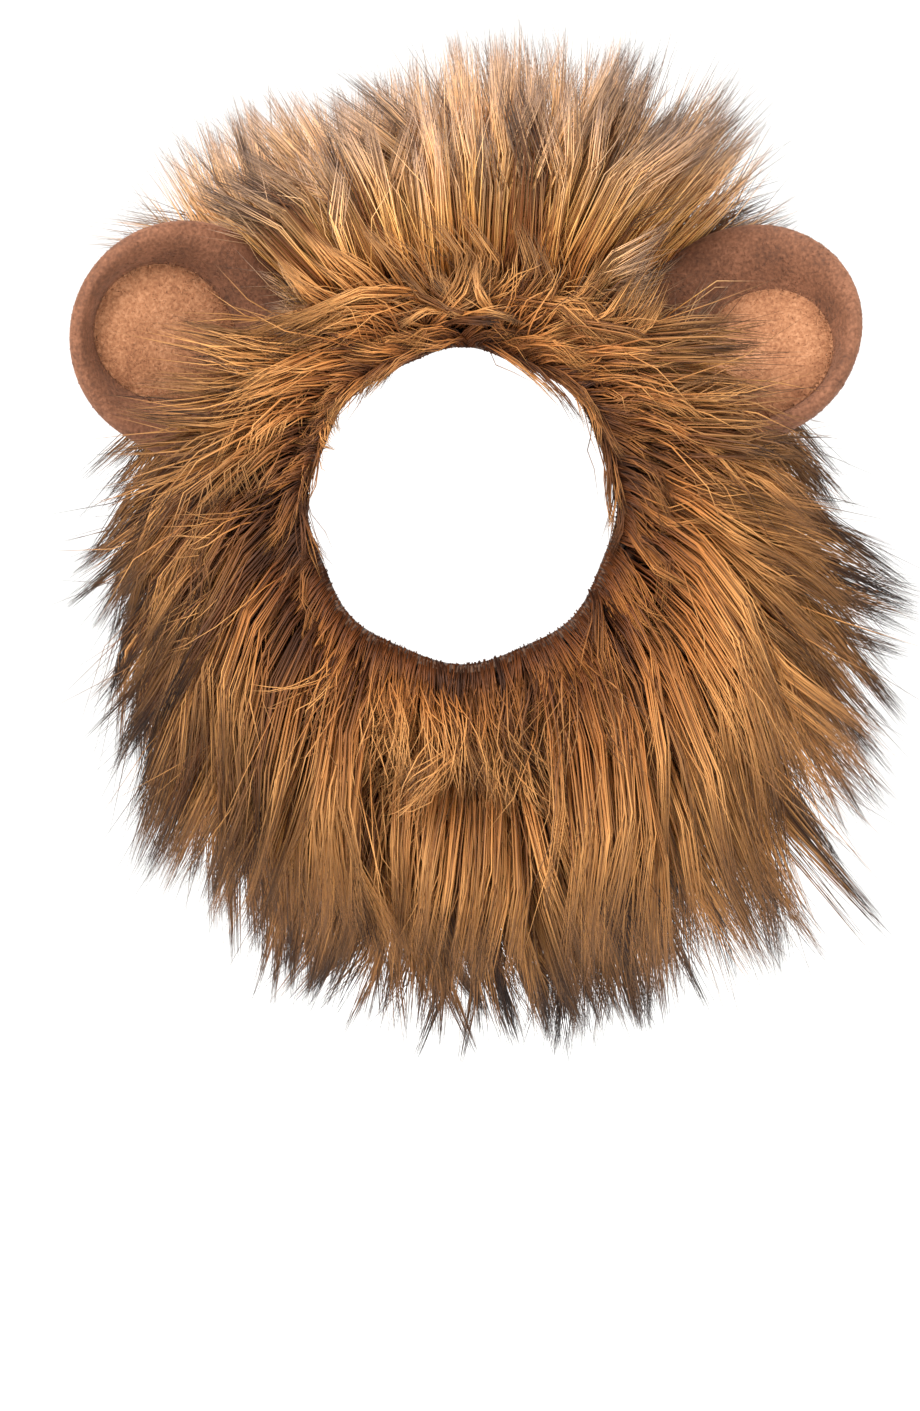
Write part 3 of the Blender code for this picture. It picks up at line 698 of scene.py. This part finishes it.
def round_the_ears(points):
    """Hair that would run through an ear lies over its front or behind its back, whichever is nearer, and
    stays there to its tip."""
    for ear in EARS:
        reach, behind, axes = about_ear(ear, points)
        front = -np.maximum(wall_front(reach), np.where(reach < EAR_PAD_REACH, pad_front(reach), 0)) - 1.6
        back = wall_back(reach) + 1.6
        within = (reach < 1.06) & (behind > front) & (behind < back)
        to_front = (behind.min(axis=1) < 0.5 * (front + back).mean(axis=1))[:, None]
        push = np.where(within, np.where(to_front, front - behind, back - behind), 0)
        size = np.maximum.accumulate(np.abs(push), axis=1)
        points = points + (size * np.where(to_front, -1, 1))[..., None] * axes[:, 1]
    return points


class Coat:
    """One growth of hair: how many hairs, where they stand, the tables that comb them, and how they cling."""

    def __init__(self, count, turns, alongs, comb, nap, pile, **more):
        self.count, self.turns, self.alongs = count, turns, alongs
        self.comb, self.nap, self.pile = comb, nap, pile
        # Where its rings stand from root to tip, the part of the colour ramp that it spans, and a rim comb.
        self.rings, self.shade, self.front_comb = (0.0, 0.15, 0.36, 0.66, 1.0), (0.0, 1.0), None
        # Hairs in a lock and a wisp, how far they cling, the share of strays, and how loose headings are.
        self.lock, self.wisp, self.cling, self.stray, self.loose = 110, 14, 0.6, 0.10, 1.0
        # The curl in mm and its phase's turn in radians, the sideways bend, and the tip's droop in mm.
        self.curl, self.waves, self.bend, self.droop = 0.8, 5.0, 1.0, 0.0
        # How far in mm it may lie over an ear, how flat it leaves the cloth, and its root's lift in mm.
        self.over, self.flat, self.foot = 12.0, 0.0, 2.5
        # Its share of HAIR_WIDTH, what it adds to the tone, how far tones vary, and the share of guards.
        self.width, self.tone, self.vary, self.guard = 1.0, 0.0, 1.0, 0.15
        # The least and most share of the opening's oval that its hairs stay outside.
        self.edge = (0.93, 1.0)
        self.__dict__.update(more)

    def grow(self, rng):
        """The corners, faces and UV of every hair. Its heading, lean, length and tone come from the tables
        plus random parts for its lock, its wisp and itself. It clings to its wisp, and that to its lock."""
        count = self.count
        turn, along = scattered(rng, count, *self.turns, *self.alongs)
        up = rng.uniform(0.6, 1.0, count) if self.foot > 0 else rng.uniform(0, 0.9, count)
        root = hood_point(turn, along, outer_lift(along) * (1 if self.foot > 0 else up) + self.foot * up)
        lock = rng.choice(count, max(4, count // self.lock), replace=False)
        wisp = rng.choice(count, max(8, count // self.wisp), replace=False)
        of_lock, of_wisp = nearest(root, root[lock]), nearest(root, root[wisp])
        by_lock, by_wisp, by_hair = (rng.normal(size=(5, n)) for n in (len(lock), len(wisp), count))
        stray = rng.random(count) < self.stray

        def mixed(i, lock_share, wisp_share, hair_share):
            """The sum of a lock's, a wisp's and a hair's own random number, each times its share."""
            shared = lock_share * by_lock[i][of_lock[wisp]][of_wisp] + wisp_share * by_wisp[i][of_wisp]
            return shared + hair_share * by_hair[i]

        degrees = np.degrees(turn)
        heading = combed(self.comb, "heading_deg", degrees)
        if self.front_comb:
            at_rim = np.clip(1 - along / 0.42, 0, 1) ** 0.7
            heading = heading + at_rim * (combed(self.front_comb, "heading_deg", degrees) - heading)
        heading = heading + self.loose * mixed(0, 5, 4, 1.5) + stray * 14 * rng.normal(size=count)
        lean = combed(self.nap, "lean_deg", along, "along")
        lean = lean + self.loose * mixed(1, 4, 3, 1.5) + stray * 6 * rng.normal(size=count)
        length = self.pile * combed(self.comb, "pile", degrees) * combed(self.nap, "pile", along, "along")
        tone = combed(self.comb, "tone", degrees) + combed(self.nap, "tone", along, "along") + self.tone
        tone = tone + self.vary * mixed(3, 0.26, 0.28, 0.1)
        guard = rng.random(count) < self.guard
        tone = np.where(guard, 0.25 * tone, tone + 0.08)
        length = length * (np.clip(0.94 + mixed(2, 0.06, 0.06, 0.05), 0.7, 1.06) + 0.12 * guard)
        heading, lean, tone = np.radians(heading), np.radians(lean), np.clip(tone, 0.02, 0.98)
        end = np.stack([np.cos(heading) * np.cos(lean), np.sin(lean), np.sin(heading) * np.cos(lean)], -1)
        start = unit(hood_normal(turn, along) + self.flat * end)
        over = self.over * rng.uniform(0.1, 1.0, count)
        length = within_the_fur(root, start, end, short_of_ears(root, start, end, length, over))
        t = np.asarray(self.rings)
        line = hair_line(root, start, end, length, t)
        across = unit(np.cross(end, np.array([0.0, -1.0, 0.0])))
        sway = (self.bend * mixed(4, 5.0, 2.5, 1.2))[:, None] * (t**2 - 0.8 * np.sin(math.pi * t) * t)
        fall = np.stack([0 * t, 0 * t, -self.droop * t**2.5], -1)
        line = line + sway[..., None] * across[:, None] + fall * (length / self.pile)[:, None, None]
        wisp_line = line[wisp][of_wisp]
        lock_line = line[lock][of_lock[wisp]][of_wisp]
        cling = self.cling * (t**1.2)[None, :, None] * np.where(stray, 0.1, 1)[:, None, None]
        goal = wisp_line + 0.4 * (t**1.5)[None, :, None] * (lock_line - wisp_line)
        same = np.linalg.norm(goal - line, axis=-1).max(1) < 22
        line = line + cling * (goal - line) * same[:, None, None]
        phase = rng.uniform(0, math.tau, (count, 1, 3))
        curl = self.curl * np.sqrt(t)[None, :, None] * rng.uniform(0.3, 1.0, (count, 1, 1))
        line = line + curl * np.sin(phase + t[None, :, None] * self.waves)
        line = round_the_ears(clear_of_opening(line, rng.uniform(*self.edge, (count, 1))))

        ahead = unit(np.gradient(line, axis=1))
        side = unit(np.cross(ahead, rng.normal(size=(count, 1, 3))))
        other = np.cross(ahead, side)
        shape = np.interp(t, (0, 0.3, 0.6, 0.85, 1), (1.0, 1.0, 0.85, 0.5, 0.0))
        thin = np.where(stray | guard, 0.72, 1)[:, None]
        thick = HAIR_WIDTH / 2 * self.width * rng.uniform(0.7, 1.3, (count, 1)) * thin * shape
        around = np.radians([0, 120, 240])
        corners = [line + thick[..., None] * (side * math.cos(a) + other * math.sin(a)) for a in around]
        rings = len(t) - 1
        body = np.stack(corners, axis=2)[:, :rings].reshape(count, 3 * rings, 3)
        points = np.concatenate([body, line[:, -1:]], axis=1)
        each = 3 * rings + 1
        faces = [(2, 1, 0)]
        for ring in range(rings - 1):
            for i in range(3):
                a, b = 3 * ring + i, 3 * ring + (i + 1) % 3
                faces += [(a, b, b + 3), (a, b + 3, a + 3)]
        faces += [(each - 4 + i, each - 4 + (i + 1) % 3, each - 1) for i in range(3)]
        faces = each * np.arange(count)[:, None, None] + np.array(faces)[None]
        v = self.shade[0] + (self.shade[1] - self.shade[0]) * t * rng.uniform(0.9, 1.1, (count, 1))
        v = np.clip(np.concatenate([np.repeat(v[:, :-1], 3, axis=1), v[:, -1:]], axis=1), 0, 0.995)
        u = np.repeat(tone[:, None], each, 1) + np.tile([-0.004, 0, 0.004], rings + 1)[:each]
        return points.reshape(-1, 3), faces.reshape(-1, 3), np.stack([u, v], -1).reshape(-1, 2)


def hair(name, coats, fur, replaced, seed):
    """All of a piece's hair in one mesh: three-sided spikes, closed at the root and pointed at the tip."""
    rng = np.random.default_rng(seed)
    points, faces, uv = [], [], []
    for coat in coats:
        more_points, more_faces, more_uv = coat.grow(rng)
        faces.append(more_faces + sum(len(p) for p in points))
        points.append(more_points)
        uv.append(more_uv)
    made = piece_from(name, np.concatenate(points), np.concatenate(faces), np.concatenate(uv))
    made.data.materials.append(fur)
    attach(made, "root")
    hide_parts(replaced)


# What the coats of a panel share. The crest stands up. The ruff droops a little and may lie over the ears.
STRAIGHT = (0.0, 0.36, 0.7, 1.0)
CURLY = tuple(np.linspace(0, 1, 7))
CREST = dict(
    comb=CREST_COMB, nap=CREST_NAP, pile=CREST_PILE, over=20.0, rings=STRAIGHT, width=0.9, guard=0.24
)
CREST_BACK = {**CREST, "guard": 0.38}
RUFF = dict(comb=RUFF_COMB, front_comb=FACE_COMB, nap=RUFF_NAP, pile=RUFF_PILE, over=44.0, droop=6.0)
BIB = dict(comb=RUFF_COMB, nap=BIB_NAP, pile=BIB_PILE, bend=0.8)
# Short hair on the hem, and long curly hair that tangles over the seams.
RIM = dict(
    comb=RUFF_COMB,
    front_comb=FACE_COMB,
    nap=RIM_NAP,
    pile=RIM_PILE,
    flat=0.6,
    foot=0.0,
    shade=(0.05, 0.6),
    lock=40,
    wisp=8,
    cling=0.35,
    width=0.75,
    loose=1.8,
    tone=-0.1,
)
TANGLE = dict(
    rings=CURLY, curl=4.0, waves=5.0, stray=0.25, loose=4.5, shade=(0.1, 0.8), vary=1.6, width=0.8
)
# Locks that lie over the inner parts of the ears, the tangle between them over the brow, and short hair that
# crosses the middle of the brow from both sides.
BROW_COMB = (
    Comb(50, 16, 0.86, 0.75),
    Comb(62, 24, 0.8, 0.7),
    Comb(85, 60, 0.6, 0.45),
    Comb(97, 130, 0.6, 0.45),
    Comb(120, 172, 0.8, 0.6),
    Comb(140, 176, 0.8, 0.6),
)
OVER_COMB = (
    Comb(125, 188, 0.95, 0.66),
    Comb(145, 200, 1.0, 0.62),
    Comb(165, 212, 0.9, 0.5),
    Comb(375, 335, 0.9, 0.5),
    Comb(395, 343, 1.0, 0.6),
    Comb(415, 352, 0.9, 0.66),
)
CROSS_COMB = (
    Comb(72, 150, 1.0, 0.6),
    Comb(89, 176, 1.0, 0.6),
    Comb(91, 6, 1.0, 0.6),
    Comb(108, 30, 1.0, 0.6),
)
FORWARD_NAP = (Nap(0.0, -16, 1.0, 0.0), Nap(0.3, -24, 1.0, 0.0))
OVER = dict(
    comb=OVER_COMB, nap=FORWARD_NAP, pile=80.0, over=62.0, shade=(0.1, 0.9), cling=0.75, flat=0.5
)
BROW = dict(comb=BROW_COMB, nap=FORWARD_NAP, over=34.0, flat=0.4)
CROSSED = dict(
    comb=CROSS_COMB, nap=FORWARD_NAP, pile=27.0, flat=0.8, loose=2.5, lock=40, shade=(0.1, 0.8)
)
# Fine hair that hangs along the rim and a little way over the opening.
FRINGE_COMB = (
    Comb(95, 206, 1.0, 0.4),
    Comb(178, 286, 1.0, 0.3),
    Comb(362, 254, 1.0, 0.3),
    Comb(445, 334, 1.0, 0.4),
)
FRINGE = dict(
    comb=FRINGE_COMB,
    nap=FORWARD_NAP,
    pile=26.0,
    flat=2.2,
    foot=0.0,
    edge=(0.88, 0.97),
    shade=(0.05, 0.7),
    lock=40,
    wisp=7,
    width=0.7,
    loose=1.5,
    guard=0.3,
)
ON_HEM = (-0.01, -0.003)

hair(
    "crest_hair_front",
    [Coat(11000, (29, 150), (0.08, 0.5), **CREST)],
    golden_fur,
    "crest_fur",
    31,
)
hair(
    "crest_hair_back",
    [Coat(5900, (29, 150), (0.5, 0.97), **CREST_BACK)],
    golden_fur,
    "crest_fur",
    32,
)
hair(
    "ruff_hair_right",
    [
        Coat(500, (88, 150), ON_HEM, **RIM),
        Coat(260, (95, 178), (-0.008, 0.02), **FRINGE),
        Coat(600, (150, 240), ON_HEM, **RIM),
        Coat(700, (92, 150), (0.02, 0.11), shade=(0.05, 0.78), tone=0.12, flat=0.4, **RUFF),
        Coat(700, (126, 166), (0.05, 0.26), **OVER),
        Coat(2500, (150, 245), (0.02, 0.34), shade=(0.0, 0.86), tone=-0.32, flat=0.5, **RUFF),
        Coat(3100, (150, 241), (0.34, 0.97), cling=0.74, tone=0.05, guard=0.3, **RUFF),
    ],
    brown_fur,
    "ruff_fur",
    33,
)
hair(
    "ruff_hair_left",
    [
        Coat(500, (390, 452), ON_HEM, **RIM),
        Coat(160, (362, 445), (-0.008, 0.02), **FRINGE),
        Coat(600, (300, 390), ON_HEM, **RIM),
        Coat(700, (390, 448), (0.02, 0.11), shade=(0.05, 0.78), tone=0.0, flat=0.4, **RUFF),
        Coat(700, (374, 414), (0.05, 0.26), **OVER),
        Coat(2500, (295, 391), (0.02, 0.34), shade=(0.0, 0.86), tone=-0.12, flat=0.5, **RUFF),
        Coat(3100, (299, 391), (0.34, 0.97), cling=0.74, tone=0.05, guard=0.3, **RUFF),
    ],
    brown_fur,
    "ruff_fur",
    34,
)
hair(
    "brow_and_chin_hair",
    [
        Coat(500, (238, 302), ON_HEM, **RIM),
        Coat(1300, (228, 312), (0.02, 0.34), comb=RUFF_COMB, nap=RIM_NAP, pile=CHIN_PILE, **TANGLE),
        Coat(500, (46, 140), (0.03, 0.12), pile=58.0, shade=(0.05, 0.8), cling=0.8, **BROW),
        Coat(420, (74, 106), (0.0, 0.07), **CROSSED),
        Coat(500, (60, 120), (0.0, 0.16), comb=BROW_COMB, nap=FORWARD_NAP, pile=40.0, **TANGLE),
        Coat(130, (160, 205), (0.04, 0.25), comb=RUFF_COMB, nap=RUFF_NAP, pile=48.0, tone=0.2, **TANGLE),
        Coat(90, (340, 385), (0.04, 0.2), comb=RUFF_COMB, nap=RUFF_NAP, pile=44.0, tone=0.2, **TANGLE),
    ],
    brown_fur,
    "ruff_fur",
    35,
)
hair(
    "bib_hair",
    [
        Coat(2100, (239, 301), (0.26, 0.6), shade=(0.1, 0.84), **BIB),
        Coat(2800, (239, 301), (0.6, 0.97), cling=0.8, guard=0.4, **BIB),
    ],
    brown_fur,
    "bib_fur",
    36,
)


# The studio.
# A pale floor that runs up into a pale wall, under soft boxes, with the camera level with the wearer's face.
FLOOR_DROP = 0.248
face_middle = Vector(FACE * 0.001)

floor_mesh = bpy.data.meshes.new("studio_floor")
depth = np.array([-3.0, 1.2, 1.6, 1.9, 2.05, 2.1, 2.1])
height = np.array([0.0, 0.0, 0.03, 0.15, 0.4, 0.8, 4.0]) + face_middle.z - FLOOR_DROP
sweep = [(x, y, z) for y, z in zip(depth, height) for x in (-4.0, 4.0)]
floor_mesh.from_pydata(sweep, [], [(2 * i, 2 * i + 1, 2 * i + 3, 2 * i + 2) for i in range(len(depth) - 1)])
floor_mesh.polygons.foreach_set("use_smooth", [True] * len(floor_mesh.polygons))
floor = bpy.data.objects.new("studio_floor", floor_mesh)
bpy.context.scene.collection.objects.link(floor)
paper, tree, shader = new_material("white_studio_paper")
shader.inputs["Base Color"].default_value = linear("FCFBFA")
shader.inputs["Roughness"].default_value = 0.9
floor_mesh.materials.append(paper)


def soft_box(name, where, size, power, colour="FFFFFF"):
    """A square lamp that points at the face opening."""
    lamp = bpy.data.lights.new(name, "AREA")
    lamp.size = size
    lamp.energy = power
    lamp.color = linear(colour)[:3]
    made = bpy.data.objects.new(name, lamp)
    made.location = face_middle + Vector(where)
    made.rotation_mode = "QUATERNION"
    made.rotation_quaternion = (-Vector(where)).to_track_quat("-Z", "Y")
    bpy.context.scene.collection.objects.link(made)


soft_box("key", (-0.7, -1.2, 1.1), 0.7, 40)
soft_box("fill", (1.2, -1.2, 0.4), 1.0, 12)
soft_box("top", (0.1, 0.5, 1.6), 0.9, 14)

world = bpy.data.worlds.new("studio")
bpy.context.scene.world = world
world.use_nodes = True
world.node_tree.nodes["Background"].inputs["Color"].default_value = linear("FFFFFF")
world.node_tree.nodes["Background"].inputs["Strength"].default_value = 0.62
bpy.context.scene.view_settings.view_transform = "Standard"

LENS, PICTURE_MM_TALL, LOOK_BELOW = 85.0, 395.0, 56.0
lens = bpy.data.cameras.new("camera")
lens.lens = LENS
lens.sensor_width = 36.0
camera = bpy.data.objects.new("camera", lens)
target = face_middle + Vector((-0.0006, 0, -LOOK_BELOW * 0.001))
camera.location = face_middle + Vector((-0.0006, -PICTURE_MM_TALL * 0.001 * LENS / 36.0, 0))
camera.rotation_mode = "QUATERNION"
camera.rotation_quaternion = (target - camera.location).to_track_quat("-Z", "Y")
bpy.context.scene.collection.objects.link(camera)
bpy.context.scene.camera = camera
